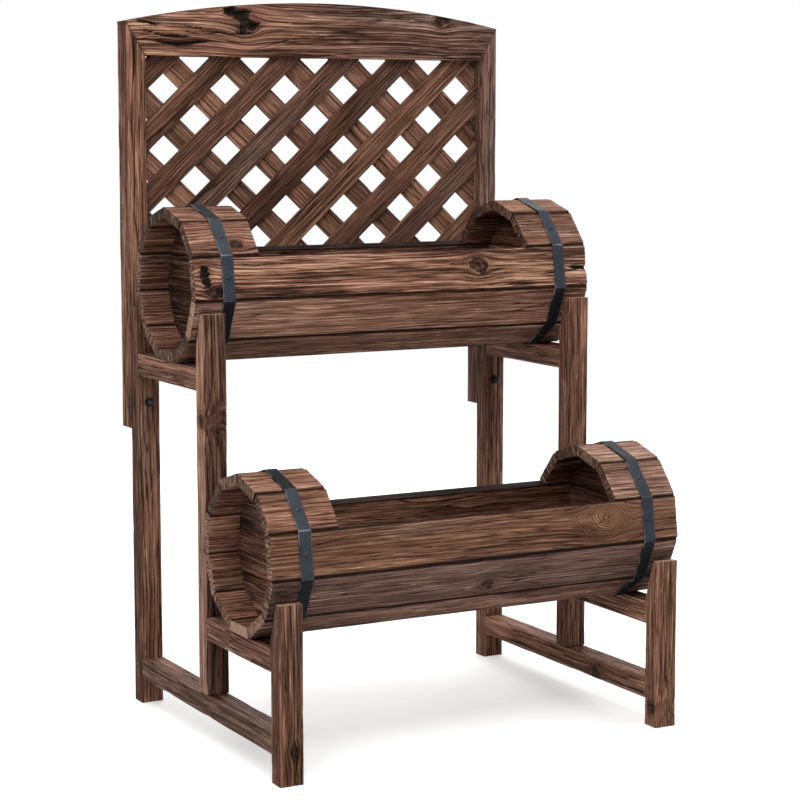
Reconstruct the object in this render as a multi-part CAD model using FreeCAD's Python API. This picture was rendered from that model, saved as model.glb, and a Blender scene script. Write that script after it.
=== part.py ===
"""A two-tier wooden barrel planter with an arched trellis, piece by piece.

Millimetres. X runs across the planter, -Y is its front and +Z is up. The origin is on the
floor, in the middle of the planter's width and depth.
"""
import FreeCAD, Part

import math
import os

from FreeCAD import Vector

# Side frames
frame_width = 600.0             # over the outer faces of the two side frames
leg_width = 33.0                # along X, the same for every frame member
leg_depth = 27.5                # along Y
bottom_rail_underside = 36.8
bottom_rail_height = 28.2
lower_rail_underside = 141.2
upper_rail_underside = 471.0
cross_rail_height = 31.0
front_leg_rise = 59.3           # top of the lower cross rail to top of the front leg
mid_leg_rise = 72.5             # top of the upper cross rail to top of the middle leg
back_leg_rise = 66.5            # top of the upper cross rail to top of the back leg
edge_ease = 1.5                 # radius on the long edges of legs, rails and stiles
seat_cut_depth = 15.8           # sloping cut on a leg's top that makes room for a barrel
seat_cut_height = 47.0
seat_clearance = 0.3            # between a leg's sloping cut and a barrel

# Dowels in the butt joints
dowel_diameter = 8.0
dowel_length = 26.0             # in the side frames
short_dowel_length = 18.0       # in the trellis
dowel_clearance = 0.15          # round the dowel
dowel_end_gap = 0.3             # beyond each end of the dowel

# Barrels
stave_count = 11
barrel_radius = 103.0           # axis to the flat outside of a stave
barrel_overhang = 6.5           # from the frame's outer face to the end of a barrel
lower_front_lap = 21.0          # how far the lower barrel reaches over the front legs, along Y
lower_back_gap = 7.0            # between the lower barrel and the middle legs
upper_front_lap = 18.0          # how far the upper barrel reaches over the middle legs, along Y
upper_back_gap = 10.0           # between the upper barrel and the back legs
stave_thickness = 15.0
stave_gap = 0.4
stave_chamfer = 3.0             # on the outer long edges, makes the V grooves
top_stave_length = 99.0
head_thickness = 12.0
head_clearance = 0.3            # round the head, and between its boards
head_seam_offset = 38.0         # axis to the seams above and below the middle board

# Steel bands and their nails
band_width = 17.5
band_thickness = 1.6
band_bend_radius = 8.0
band_clearance = 0.5            # from the side frame's inner face
nail_head_radius = 3.4
nail_head_height = 1.5
nail_shank_radius = 1.2
nail_bite = 10.1                # length of a nail inside the head
nail_clearance = 0.1

# Screws up through the cross rails into the bottom staves
screw_head_radius = 4.6
screw_head_height = 2.8
screw_shank_radius = 2.2
screw_cover = 4.0               # wood left between a screw's tip and the inside of the stave
screw_tip_height = 5.0
screw_spacing = 30.0            # between the two screws of a rail
screw_clearance = 0.15

# Trellis
stile_width = 29.4
trellis_thickness = 33.4
stile_length = 571.6            # to the outer corner of the mitre
stile_drop = 40.1               # from the lower bolt to the foot of a stile
top_rail_end_height = 48.5      # at the mitres
arch_rise = 31.0                # the arch's crown above the stiles' outer corners
trellis_bottom_rail_height = 29.0
slat_width = 33.5
slat_thickness = 6.0
lattice_pitch_across = 95.2     # from hole to hole along X
lattice_pitch_up = 87.0         # from hole to hole along Z
lattice_half_rows = 7           # half pitches between the top rail and the bottom rail
groove_depth = 8.0
groove_clearance = 0.2          # each side of the two layers of slats
slat_end_gap = 0.5              # end of a slat to the bottom of the groove

# Bolts that hold the trellis to the back legs
bolt_shank_radius = 3.0
bolt_head_radius = 8.0
bolt_head_height = 4.0
bolt_hole_clearance = 0.25
bolt_drop = 27.5                # from the top of a back leg to the upper bolt
bolt_spacing = 108.5            # from the upper bolt to the lower one
washer_radius = 6.5
washer_thickness = 1.2
nut_across_flats = 10.0
nut_hex_height = 5.0
nut_dome_radius = 4.6
nut_dome_height = 4.4
nut_bore_clearance = 0.1        # round the bolt
bolt_engagement = 6.0           # length of bolt inside the nut
bolt_end_gap = 0.5              # from the bolt's end to the end of the nut's bore

cut_overrun = 5.0               # how far cutting shapes pass the faces that they cut
parallel_share = 0.001

# A barrel's reach, which sets the room between the legs
stave_step = 360.0 / stave_count
barrel_corner_radius = barrel_radius / math.cos(math.radians(stave_step / 2))
corner_angles = [math.radians((step + 1 / 2) * stave_step - 90) for step in range(stave_count)]
barrel_reach = barrel_corner_radius * max(math.cos(angle) for angle in corner_angles)
lower_bay_depth = 2 * barrel_reach - lower_front_lap + lower_back_gap
upper_bay_depth = 2 * barrel_reach - upper_front_lap + upper_back_gap

# Places from front to back
side_depth = lower_bay_depth + upper_bay_depth + 3 * leg_depth
overall_depth = side_depth + trellis_thickness + bolt_head_height
front_y = -overall_depth / 2
front_leg_back_y = front_y + leg_depth
mid_leg_front_y = front_leg_back_y + lower_bay_depth
mid_leg_back_y = mid_leg_front_y + leg_depth
back_leg_front_y = mid_leg_back_y + upper_bay_depth
trellis_front_y = back_leg_front_y + leg_depth
trellis_back_y = trellis_front_y + trellis_thickness
trellis_middle_y = (trellis_front_y + trellis_back_y) / 2
lower_axis_y = front_leg_back_y - lower_front_lap + barrel_reach
upper_axis_y = mid_leg_back_y - upper_front_lap + barrel_reach

# Places across
outer_x = frame_width / 2
inner_x = outer_x - leg_width
stile_inner_x = outer_x - stile_width
barrel_end_x = outer_x + barrel_overhang
band_outer_x = inner_x - band_clearance
band_middle_x = band_outer_x - band_width / 2

# Heights
bottom_rail_top = bottom_rail_underside + bottom_rail_height
lower_rail_top = lower_rail_underside + cross_rail_height
upper_rail_top = upper_rail_underside + cross_rail_height
lower_axis_z = lower_rail_top + barrel_radius
upper_axis_z = upper_rail_top + barrel_radius
front_leg_top = lower_rail_top + front_leg_rise
mid_leg_top = upper_rail_top + mid_leg_rise
back_leg_top = upper_rail_top + back_leg_rise
high_bolt_z = back_leg_top - bolt_drop
low_bolt_z = high_bolt_z - bolt_spacing
stile_bottom = low_bolt_z - stile_drop
stile_top = stile_bottom + stile_length
top_rail_underside = stile_top - top_rail_end_height
trellis_bottom_rail_top = top_rail_underside - lattice_half_rows * lattice_pitch_up / 2
trellis_bottom_rail_underside = trellis_bottom_rail_top - trellis_bottom_rail_height

# Sizes that follow from the pieces that a nail or screw goes through
head_radius = barrel_radius - stave_thickness - head_clearance
nail_length = band_thickness + stave_thickness + head_clearance + nail_bite
screw_length = cross_rail_height + stave_thickness - screw_cover

along_x = Vector(1, 0, 0)
along_y = Vector(0, 1, 0)
along_z = Vector(0, 0, 1)


def save(name, *solids):
    """Writes one piece, or a group of like pieces, to its own file."""
    shape = solids[0] if len(solids) == 1 else Part.makeCompound(list(solids))
    shape.exportStep(f"parts/{name}.step")


def prism(outline, sweep):
    """A solid swept from a closed flat outline of points."""
    return Part.Face(Part.makePolygon(outline + outline[:1])).extrude(sweep)


def block(low, high):
    """A block between its lowest and highest corners."""
    size = high - low
    return Part.makeBox(size.x, size.y, size.z, low)


def runs_along(edge, axis):
    """Whether a straight edge is parallel to an axis."""
    return edge.tangentAt(edge.FirstParameter).cross(axis).Length < parallel_share


def bar(low, high, axis):
    """A block whose four edges along the axis are eased."""
    solid = block(low, high)
    return solid.makeFillet(edge_ease, [edge for edge in solid.Edges if runs_along(edge, axis)])


def rod(middle, axis, length, diameter):
    """A round rod centred on a point."""
    return Part.makeCylinder(diameter / 2, length, middle - axis * (length / 2), axis)


def dowel_hole(middle, axis, length):
    """The hole that a dowel of this length sits in."""
    return rod(middle, axis, length + 2 * dowel_end_gap, dowel_diameter + 2 * dowel_clearance)


def line(start, end):
    """A straight edge of a profile."""
    return Part.LineSegment(start, end).toShape()


def dome_arc(radius, height, base):
    """The arc from the rim of a dome to its top, in the XZ plane."""
    sphere = (radius ** 2 + height ** 2) / (2 * height)
    half_angle = math.asin(min(radius / sphere, 1)) / 2
    middle = Vector(sphere * math.sin(half_angle), 0, base + height - sphere + sphere * math.cos(half_angle))
    return Part.Arc(Vector(radius, 0, base), middle, Vector(0, 0, base + height)).toShape()


def turned(edges, foot, axis):
    """Turns a profile in the XZ plane round Z, then puts it at foot, with Z along the axis."""
    solid = Part.Face(Part.Wire(edges)).revolve(Vector(), along_z, 360)
    solid.Placement = FreeCAD.Placement(foot, FreeCAD.Rotation(along_z, axis))
    return solid


def domed_stud(head_radius, head_height, shank_radius, length, foot, axis):
    """A nail or bolt with a domed head. Its foot is under the head, and the axis points out."""
    rim = Vector(head_radius, 0, 0)
    neck = Vector(shank_radius, 0, 0)
    tip = Vector(shank_radius, 0, -length)
    centre_tip = Vector(0, 0, -length)
    crown = Vector(0, 0, head_height)
    edges = [line(centre_tip, tip), line(tip, neck), line(neck, rim),
             dome_arc(head_radius, head_height, 0), line(crown, centre_tip)]
    return turned(edges, foot, axis)


# Side frames

def side_x(side):
    """The lower and higher X of a side frame: side is -1 on the left and 1 on the right."""
    return sorted((side * outer_x, side * inner_x))


def frame_dowels(side):
    """The middle and axis of each dowel in a side frame, by the name of the joint."""
    x = side * (outer_x + inner_x) / 2
    bottom_z = (bottom_rail_underside + bottom_rail_top) / 2
    lower_z = (lower_rail_underside + lower_rail_top) / 2
    upper_z = (upper_rail_underside + upper_rail_top) / 2
    mid_leg_y = (mid_leg_front_y + mid_leg_back_y) / 2
    return {
        "bottom_front": (Vector(x, front_leg_back_y, bottom_z), along_y),
        "bottom_back": (Vector(x, back_leg_front_y, bottom_z), along_y),
        "lower_front": (Vector(x, front_leg_back_y, lower_z), along_y),
        "lower_back": (Vector(x, mid_leg_front_y, lower_z), along_y),
        "upper_front": (Vector(x, mid_leg_back_y, upper_z), along_y),
        "upper_back": (Vector(x, back_leg_front_y, upper_z), along_y),
        "mid_leg_foot": (Vector(x, mid_leg_y, bottom_rail_top), along_z),
    }


def without_dowel_holes(solid, side, *joints):
    """Bores a frame member for the dowels of the named joints."""
    dowels = frame_dowels(side)
    for joint in joints:
        middle, axis = dowels[joint]
        solid = solid.cut(dowel_hole(middle, axis, dowel_length))
    return solid


def with_seat(solid, side, back_y, top, axis):
    """Takes a wedge off the back of a leg's top, and whatever is still in the way of the barrel."""
    low_x, high_x = side_x(side)
    outline = [Vector(low_x - cut_overrun, y, z) for y, z in (
        (back_y - seat_cut_depth, top),
        (back_y, top - seat_cut_height),
        (back_y + cut_overrun, top - seat_cut_height),
        (back_y + cut_overrun, top + cut_overrun),
        (back_y - seat_cut_depth, top + cut_overrun))]
    wedge = prism(outline, along_x * (high_x - low_x + 2 * cut_overrun))
    barrel = polygon_prism(axis, barrel_radius + seat_clearance, low_x - cut_overrun, high_x + cut_overrun)
    return solid.cut(wedge).cut(barrel)


def leg(side, low_y, foot, top):
    """A square-ended leg."""
    low_x, high_x = side_x(side)
    return bar(Vector(low_x, low_y, foot), Vector(high_x, low_y + leg_depth, top), along_z)


def rail(side, low_y, high_y, underside, top):
    """A rail that runs from front to back."""
    low_x, high_x = side_x(side)
    return bar(Vector(low_x, low_y, underside), Vector(high_x, high_y, top), along_y)


def build_side_frame(name, side):
    """Three legs, three rails and their dowels."""
    front_leg = leg(side, front_y, 0, front_leg_top)
    front_leg = with_seat(front_leg, side, front_leg_back_y, front_leg_top, lower_axis)
    save(f"{name}_front_leg", without_dowel_holes(front_leg, side, "bottom_front", "lower_front"))

    mid_leg = leg(side, mid_leg_front_y, bottom_rail_top, mid_leg_top)
    mid_leg = with_seat(mid_leg, side, mid_leg_back_y, mid_leg_top, upper_axis)
    save(f"{name}_mid_leg",
         without_dowel_holes(mid_leg, side, "mid_leg_foot", "lower_back", "upper_front"))

    back_leg = leg(side, back_leg_front_y, 0, back_leg_top)
    for hole in bolt_holes(side):
        back_leg = back_leg.cut(hole)
    save(f"{name}_back_leg", without_dowel_holes(back_leg, side, "bottom_back", "upper_back"))

    bottom_rail = rail(side, front_leg_back_y, back_leg_front_y, bottom_rail_underside, bottom_rail_top)
    save(f"{name}_bottom_rail",
         without_dowel_holes(bottom_rail, side, "bottom_front", "bottom_back", "mid_leg_foot"))

    lower_rail = rail(side, front_leg_back_y, mid_leg_front_y, lower_rail_underside, lower_rail_top)
    for screw in rail_screws(side, lower_axis_y, lower_rail_underside, screw_clearance):
        lower_rail = lower_rail.cut(screw)
    save(f"{name}_lower_cross_rail", without_dowel_holes(lower_rail, side, "lower_front", "lower_back"))

    upper_rail = rail(side, mid_leg_back_y, back_leg_front_y, upper_rail_underside, upper_rail_top)
    for screw in rail_screws(side, upper_axis_y, upper_rail_underside, screw_clearance):
        upper_rail = upper_rail.cut(screw)
    save(f"{name}_upper_cross_rail", without_dowel_holes(upper_rail, side, "upper_front", "upper_back"))

    dowels = [rod(middle, axis, dowel_length, dowel_diameter) for middle, axis in frame_dowels(side).values()]
    save(f"{name}_frame_dowels", *dowels)


# Barrels

lower_axis = Vector(0, lower_axis_y, lower_axis_z)
upper_axis = Vector(0, upper_axis_y, upper_axis_z)


def outward(step):
    """The direction out of the barrel at a stave: step 0 is the bottom, and 1 is next towards the front."""
    angle = math.radians(step * stave_step - 90)
    return Vector(0, -math.cos(angle), math.sin(angle))


def stave(axis, step, low_x, high_x):
    """A stave with radial sides and chamfered outer edges."""
    out = outward(step)
    across = out.cross(along_x)
    taper = math.tan(math.radians(stave_step / 2))
    inside = barrel_radius - stave_thickness
    shoulder = barrel_radius - stave_chamfer
    half_outline = [(inside * taper - stave_gap / 2, inside),
                    (shoulder * taper - stave_gap / 2, shoulder),
                    (barrel_radius * taper - stave_gap / 2 - stave_chamfer, barrel_radius)]
    mirrored = [(-width, radius) for width, radius in reversed(half_outline)]
    start = Vector(low_x, axis.y, axis.z)
    outline = [start + across * width + out * radius for width, radius in half_outline + mirrored]
    return prism(outline, along_x * (high_x - low_x))


def polygon_prism(axis, radius, low_x, high_x):
    """A bar with as many sides as the barrel has staves; radius is to its flats."""
    corner_radius = radius / math.cos(math.radians(stave_step / 2))
    start = Vector(low_x, axis.y, axis.z)
    corners = [start + outward(step + 1 / 2) * corner_radius for step in range(stave_count)]
    return prism(corners, along_x * (high_x - low_x))


def band(axis, low_x):
    """A steel strap bent round the staves."""
    high_x = low_x + band_width
    outer = polygon_prism(axis, barrel_radius + band_thickness, low_x, high_x)
    outer = outer.makeFillet(band_bend_radius + band_thickness,
                             [edge for edge in outer.Edges if runs_along(edge, along_x)])
    inner = polygon_prism(axis, barrel_radius, low_x - cut_overrun, high_x + cut_overrun)
    inner = inner.makeFillet(band_bend_radius, [edge for edge in inner.Edges if runs_along(edge, along_x)])
    return outer.cut(inner)


def head_boards(axis, low_x):
    """The three boards that close one end of a barrel."""
    whole = polygon_prism(axis, head_radius, low_x, low_x + head_thickness)
    reach = barrel_radius
    seams = [-reach, -head_seam_offset, head_seam_offset, reach]
    boards = []
    for bottom, top in zip(seams, seams[1:]):
        space = block(Vector(low_x - cut_overrun, axis.y - reach, axis.z + bottom + head_clearance / 2),
                      Vector(low_x + head_thickness + cut_overrun, axis.y + reach,
                             axis.z + top - head_clearance / 2))
        boards.append(whole.common(space))
    return boards


def band_nails(axis, x, clearance):
    """The nails of one band. A clearance makes them the holes that they go through."""
    nails = []
    for step in nailed_steps:
        out = outward(step)
        foot = Vector(x, axis.y, axis.z) + out * (barrel_radius + band_thickness)
        nails.append(domed_stud(nail_head_radius, nail_head_height, nail_shank_radius + clearance,
                                nail_length + clearance, foot, out))
    return nails


def rail_screws(side, axis_y, underside, clearance):
    """The two screws of a cross rail. A clearance makes them the holes that they sit in."""
    x = side * (outer_x + inner_x) / 2
    rim = Vector(screw_head_radius + clearance, 0, 0)
    neck = Vector(screw_shank_radius + clearance, 0, screw_head_height)
    shoulder = Vector(screw_shank_radius + clearance, 0, screw_length - screw_tip_height)
    tip = Vector(0, 0, screw_length + clearance)
    screws = []
    for offset in (-screw_spacing / 2, screw_spacing / 2):
        edges = [line(Vector(), rim), line(rim, neck), line(neck, shoulder), line(shoulder, tip),
                 line(tip, Vector())]
        screws.append(turned(edges, Vector(x, axis_y + offset, underside), along_z))
    return screws


def cut_all(solid, tools):
    """Cuts every tool from a solid that it touches."""
    for tool in tools:
        if solid.BoundBox.intersect(tool.BoundBox):
            solid = solid.cut(tool)
    return solid


full_staves = {
    "bottom_stave": 0,
    "front_bottom_stave": 1,
    "front_under_stave": 2,
    "front_stave": 3,
    "back_bottom_stave": -1,
    "back_under_stave": -2,
    "back_stave": -3,
}
top_stave_pairs = {"front_top_staves": (4, 5), "back_top_staves": (-4, -5)}
nailed_steps = (-4, -3, -1, 1, 3, 4)


def build_barrel(name, axis, rail_underside):
    """Staves, heads, bands, nails and screws of one barrel, which rests on two cross rails."""
    nail_holes = []
    screw_holes = []
    screws = []
    for side in (-1, 1):
        nail_holes += band_nails(axis, side * band_middle_x, nail_clearance)
        screw_holes += rail_screws(side, axis.y, rail_underside, screw_clearance)
        screws += rail_screws(side, axis.y, rail_underside, 0)
    holes = nail_holes + screw_holes

    for stave_name, step in full_staves.items():
        save(f"{name}_{stave_name}", cut_all(stave(axis, step, -barrel_end_x, barrel_end_x), holes))

    nails = []
    for end_name, side in (("left", -1), ("right", 1)):
        low_x, high_x = sorted((side * barrel_end_x, side * (barrel_end_x - top_stave_length)))
        for pair_name, steps in top_stave_pairs.items():
            pair = [cut_all(stave(axis, step, low_x, high_x), nail_holes) for step in steps]
            save(f"{name}_{end_name}_{pair_name}", *pair)
        head_low_x = side * band_middle_x - head_thickness / 2
        boards = [cut_all(board, nail_holes) for board in head_boards(axis, head_low_x)]
        save(f"{name}_{end_name}_head", *boards)
        band_low_x = side * band_middle_x - band_width / 2
        save(f"{name}_{end_name}_band", cut_all(band(axis, band_low_x), nail_holes))
        nails += band_nails(axis, side * band_middle_x, 0)
    save(f"{name}_band_nails", *nails)
    save(f"{name}_rail_screws", *screws)


# Trellis

def bolt_places(side):
    """Where the two bolts of a side pass through the front face of the back leg."""
    x = side * (outer_x + inner_x) / 2
    return [Vector(x, back_leg_front_y, z) for z in (low_bolt_z, high_bolt_z)]


def washer_hole(place):
    """The hole through a washer."""
    diameter = 2 * (bolt_shank_radius + bolt_hole_clearance)
    return rod(place, along_y, 2 * cut_overrun, diameter)


def bolt_holes(side):
    """The bolt holes through a back leg and the stile behind it."""
    radius = bolt_shank_radius + bolt_hole_clearance
    length = leg_depth + trellis_thickness + 2 * cut_overrun
    return [Part.makeCylinder(radius, length, place - along_y * cut_overrun, along_y)
            for place in bolt_places(side)]


def lattice_groove():
    """The space of the lattice with its clearance, which cuts the grooves of the frame round it."""
    half_width = slat_thickness + groove_clearance
    reach = stile_inner_x + groove_depth
    return block(Vector(-reach, trellis_middle_y - half_width, trellis_bottom_rail_top - groove_depth),
                 Vector(reach, trellis_middle_y + half_width, top_rail_underside + groove_depth))


def trellis_dowels():
    """The middle and axis of the dowels in the trellis's four corners."""
    bottom_z = trellis_bottom_rail_underside + (trellis_bottom_rail_height - groove_depth) / 2
    mitre_x = (outer_x + stile_inner_x) / 2
    mitre_z = (stile_top + top_rail_underside) / 2
    across_mitre = Vector(top_rail_end_height, 0, -stile_width).normalize()
    dowels = []
    for side in (-1, 1):
        dowels.append((Vector(side * stile_inner_x, trellis_middle_y, bottom_z), along_x))
        axis = Vector(across_mitre.x, 0, side * across_mitre.z)
        dowels.append((Vector(side * mitre_x, trellis_middle_y, mitre_z), axis))
    return dowels


def stile(side):
    """An upright of the trellis, with its mitred top."""
    low_x, high_x = sorted((side * outer_x, side * stile_inner_x))
    upright = bar(Vector(low_x, trellis_front_y, stile_bottom), Vector(high_x, trellis_back_y, stile_top),
                  along_z)
    mitre_slope = top_rail_end_height / stile_width
    beyond = Vector(side * (stile_inner_x - cut_overrun), trellis_front_y - cut_overrun,
                    top_rail_underside - cut_overrun * mitre_slope)
    corner = Vector(side * (outer_x + cut_overrun), beyond.y, stile_top + cut_overrun * mitre_slope)
    above = Vector(beyond.x, beyond.y, corner.z)
    upright = upright.cut(prism([beyond, corner, above], along_y * (trellis_thickness + 2 * cut_overrun)))
    return upright.cut(lattice_groove())


def top_rail():
    """The arched top of the trellis, between its two mitres."""
    left = Vector(-outer_x, trellis_front_y, stile_top)
    crown = Vector(0, trellis_front_y, stile_top + arch_rise)
    right = Vector(outer_x, trellis_front_y, stile_top)
    inner_right = Vector(stile_inner_x, trellis_front_y, top_rail_underside)
    inner_left = Vector(-stile_inner_x, trellis_front_y, top_rail_underside)
    outline = Part.Wire([Part.Arc(left, crown, right).toShape(), line(right, inner_right),
                         line(inner_right, inner_left), line(inner_left, left)])
    return Part.Face(outline).extrude(along_y * trellis_thickness).cut(lattice_groove())


def trellis_bottom_rail():
    """The straight rail that closes the lattice below."""
    rail_bar = bar(Vector(-stile_inner_x, trellis_front_y, trellis_bottom_rail_underside),
                   Vector(stile_inner_x, trellis_back_y, trellis_bottom_rail_top), along_x)
    return rail_bar.cut(lattice_groove())


def lattice_layer(slant, front_y_of_layer):
    """The parallel slats of one layer: slant is 1 where they rise to the right, and -1 to the left."""
    reach_x = stile_inner_x + groove_depth - slat_end_gap
    bottom_z = trellis_bottom_rail_top - groove_depth + slat_end_gap
    top_z = top_rail_underside + groove_depth - slat_end_gap
    panel = block(Vector(-reach_x, front_y_of_layer, bottom_z),
                  Vector(reach_x, front_y_of_layer + slat_thickness, top_z))
    up_slat = Vector(slant * lattice_pitch_across, 0, lattice_pitch_up).normalize()
    across_slat = Vector(-up_slat.z, 0, up_slat.x) * (slat_width / 2)
    run = 2 * (reach_x + top_z - bottom_z)
    columns = math.ceil(run / lattice_pitch_across)
    slats = []
    for column in range(-columns, columns):
        middle = Vector((column + 1 / 2) * lattice_pitch_across, front_y_of_layer, top_rail_underside)
        ends = [middle - up_slat * run, middle + up_slat * run]
        outline = [ends[0] - across_slat, ends[1] - across_slat, ends[1] + across_slat, ends[0] + across_slat]
        slat = prism(outline, along_y * slat_thickness).common(panel)
        if slat.Volume > slat_width ** 2 * slat_thickness:
            slats += slat.Solids
    return slats


def cap_nut(seat):
    """A domed cap nut whose flat side is at seat; it points to the front."""
    corner_radius = nut_across_flats / math.sqrt(3)
    corners = [Vector(corner_radius * math.cos(math.radians(60 * turn)),
                      corner_radius * math.sin(math.radians(60 * turn)), 0) for turn in range(6)]
    hexagon = prism(corners, along_z * nut_hex_height)
    base = Vector(0, 0, 0)
    rim = Vector(nut_dome_radius, 0, 0)
    shoulder = Vector(nut_dome_radius, 0, nut_hex_height)
    crown = Vector(0, 0, nut_hex_height + nut_dome_height)
    dome = turned([line(base, rim), line(rim, shoulder),
                   dome_arc(nut_dome_radius, nut_dome_height, nut_hex_height), line(crown, base)],
                  Vector(), along_z)
    bore = Part.makeCylinder(bolt_shank_radius + nut_bore_clearance, bolt_engagement + bolt_end_gap)
    nut = hexagon.fuse(dome).removeSplitter().cut(bore)
    nut.Placement = FreeCAD.Placement(seat, FreeCAD.Rotation(along_z, -along_y))
    return nut


def build_trellis():
    """The arched frame, the lattice and everything that holds them."""
    dowels = trellis_dowels()
    dowel_holes = [dowel_hole(middle, axis, short_dowel_length) for middle, axis in dowels]
    for name, side in (("left", -1), ("right", 1)):
        save(f"trellis_{name}_stile", cut_all(stile(side), dowel_holes + bolt_holes(side)))
    save("trellis_top_rail", cut_all(top_rail(), dowel_holes))
    save("trellis_bottom_rail", cut_all(trellis_bottom_rail(), dowel_holes))
    save("trellis_dowels", *[rod(middle, axis, short_dowel_length, dowel_diameter) for middle, axis in dowels])
    save("lattice_front_slats", *lattice_layer(1, trellis_middle_y - slat_thickness))
    save("lattice_back_slats", *lattice_layer(-1, trellis_middle_y))

    bolts = []
    washers = []
    nuts = []
    bolt_length = trellis_thickness + leg_depth + washer_thickness + bolt_engagement
    for place in bolt_places(-1) + bolt_places(1):
        head_seat = Vector(place.x, trellis_back_y, place.z)
        nut_seat = place - along_y * washer_thickness
        bolts.append(domed_stud(bolt_head_radius, bolt_head_height, bolt_shank_radius, bolt_length,
                                head_seat, along_y))
        washer = rod(place - along_y * (washer_thickness / 2), along_y, washer_thickness, 2 * washer_radius)
        washers.append(washer.cut(washer_hole(place)))
        nuts.append(cap_nut(nut_seat))
    save("trellis_bolts", *bolts)
    save("trellis_washers", *washers)
    save("trellis_cap_nuts", *nuts)


os.makedirs("parts", exist_ok=True)
build_side_frame("left", -1)
build_side_frame("right", 1)
build_barrel("lower_barrel", lower_axis, lower_rail_underside)
build_barrel("upper_barrel", upper_axis, upper_rail_underside)
build_trellis()
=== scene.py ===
"""The two-tier barrel planter, dressed: brushed and charred timber, steel straps, nails and nuts.

Metres, in the frame's own axes: X runs across the planter, -Y is its front and +Z is up. Every
wooden piece is a block of cells drawn to its board's shape, whose rings, knots and cracks shape
the surface and go to the material as attributes of the mesh's points.
"""

import math
from typing import NamedTuple

import bpy
import numpy as np
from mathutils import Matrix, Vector


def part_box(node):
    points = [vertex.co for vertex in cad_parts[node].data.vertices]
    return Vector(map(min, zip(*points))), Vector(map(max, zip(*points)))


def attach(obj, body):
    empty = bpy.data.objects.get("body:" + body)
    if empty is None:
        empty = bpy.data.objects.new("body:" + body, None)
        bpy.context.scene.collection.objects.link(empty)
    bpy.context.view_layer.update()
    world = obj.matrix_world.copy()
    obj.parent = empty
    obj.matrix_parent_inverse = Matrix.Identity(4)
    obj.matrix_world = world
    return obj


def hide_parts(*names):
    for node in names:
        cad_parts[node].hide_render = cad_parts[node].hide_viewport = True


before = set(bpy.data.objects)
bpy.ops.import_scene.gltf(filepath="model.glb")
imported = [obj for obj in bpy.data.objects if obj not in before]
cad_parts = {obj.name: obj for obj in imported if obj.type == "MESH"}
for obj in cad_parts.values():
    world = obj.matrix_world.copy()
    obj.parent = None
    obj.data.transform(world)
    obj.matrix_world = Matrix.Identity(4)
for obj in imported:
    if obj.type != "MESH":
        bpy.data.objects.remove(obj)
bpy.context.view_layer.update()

# Directions
along_x = np.array([1.0, 0.0, 0.0])
along_y = np.array([0.0, 1.0, 0.0])
along_z = np.array([0.0, 0.0, 1.0])

# Cells of a board's surface
cell_along = 0.007
cell_across = 0.0012
cell_at_mark = 0.0018
edge_shares = (0.0, 0.3, 0.65, 1.0)
tiny = 1e-9
millimetres = 1000

# Boards
frame_edge_radius = 0.0012
mitred_edge_radius = 0.0005
stave_edge_radius = 0.0009
slat_edge_radius = 0.0009
brushed_depth = 0.0008
fibre_depth_share = 0.6
end_furrow_share = 0.3
uneven_depth = 0.0006
saw_mark_depth = 0.0003
wear_reach_share = 2.2
wear_spread = 0.5
groove_width = 0.0032
drift_warmth = 3.0

# Growth rings. Each bend has a height, cycles to the metre and a number of its own
ring_spacing = 0.0034
ring_drift = 0.45
pith_least_depth = 0.010
pith_extra_depth = 0.03
pith_least_side_share = 0.35
pith_extra_side_share = 0.5
pith_slant = 0.03
pith_bends = ((0.005, (3.1, 1, 1), 40), (0.0016, (11, 1, 1), 50))
ring_bends = ((0.0022, (7, 40, 40), 60), (0.0009, (20, 120, 120), 70))

# Knots and cracks
knot_length_share = 1.3
knot_bend_fade = 40
hollow_softness = 0.3
swirl_spacing = 0.0028
swirl_length_share = 1.5
swirl_flow_share = 0.6
swirl_uneven_share = 0.16
swirl_wobble = 0.0012
crack_wobble = 0.0011
crack_reach = 0.003
crack_slope_share = 0.8
crack_none = 20

# Legs
seat_cut_depth = 0.0158
seat_cut_height = 0.047

# Barrels
stave_count = 11
barrel_radius = 0.103
stave_thickness = 0.015
stave_gap = 0.0004
stave_chamfer = 0.003
chamfer_run_share = 0.93
head_clearance = 0.0003
head_seam_offset = 0.038
end_jag = 0.0022

# Steel straps and nails
strap_thickness = 0.0016
strap_bend_radius = 0.008
strap_edge_radius = 0.0004
strap_eased_share = 0.3
strap_dent_depth = 0.00035
strap_dent_scales = (70, 70, 70)
# Facets round this step are painted lit, and the others painted in shade
lit_facet_step = 3.5
lit_facet_spread = 1.0
nail_head_radius = 0.0034
nail_rim_height = 0.0002
nail_dome_height = 0.0012
nail_shank_radius = 0.0012
nail_length = 0.012

# Trellis
frame_half_width = 0.3
stile_width = 0.0294
top_rail_end_height = 0.0485
arch_rise = 0.031
mitre_rounds = 6
slat_width = 0.0335
slat_thickness = 0.006
slat_seat = 0.0015
slat_reach = 9.0
slat_lines = 60
shortest_slat_share = 1 / 8
narrowest_slat_share = 1 / 4
slat_lightness_spread = 0.08
slat_warmth_spread = 0.5
slat_figure = -0.25
lattice_pitch_across = 0.0952
lattice_pitch_up = 0.087


class Tone(NamedTuple):
    """How much lighter, warmer (or greyer) and more figured (or calmer) than usual a board is.

    Its drift is how much lighter it grows towards its far end, which on the barrels' heads paints light
    on their front parts, and its side_light is painted light: how much lighter its left side is painted.
    """
    lightness: float = 0.0
    warmth: float = 0.0
    figure: float = 0.0
    drift: float = 0.0
    side_light: float = 0.0


class Knot:
    """A knot, placed in millimetres along and across a board from its middle, or through it on its side.

    Its hollow is how far broken wood falls in, its swirl is the radius of the rings round it, and its
    tail says how many times longer the rings are drawn on its near side.
    """

    def __init__(self, along, across, radius, hollow=0, swirl=0, tail=1, side=False):
        self.along = along / millimetres
        self.across = across / millimetres
        self.radius = radius / millimetres
        self.hollow = hollow / millimetres
        self.swirl = swirl / millimetres
        self.tail = tail
        self.side = side


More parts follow.
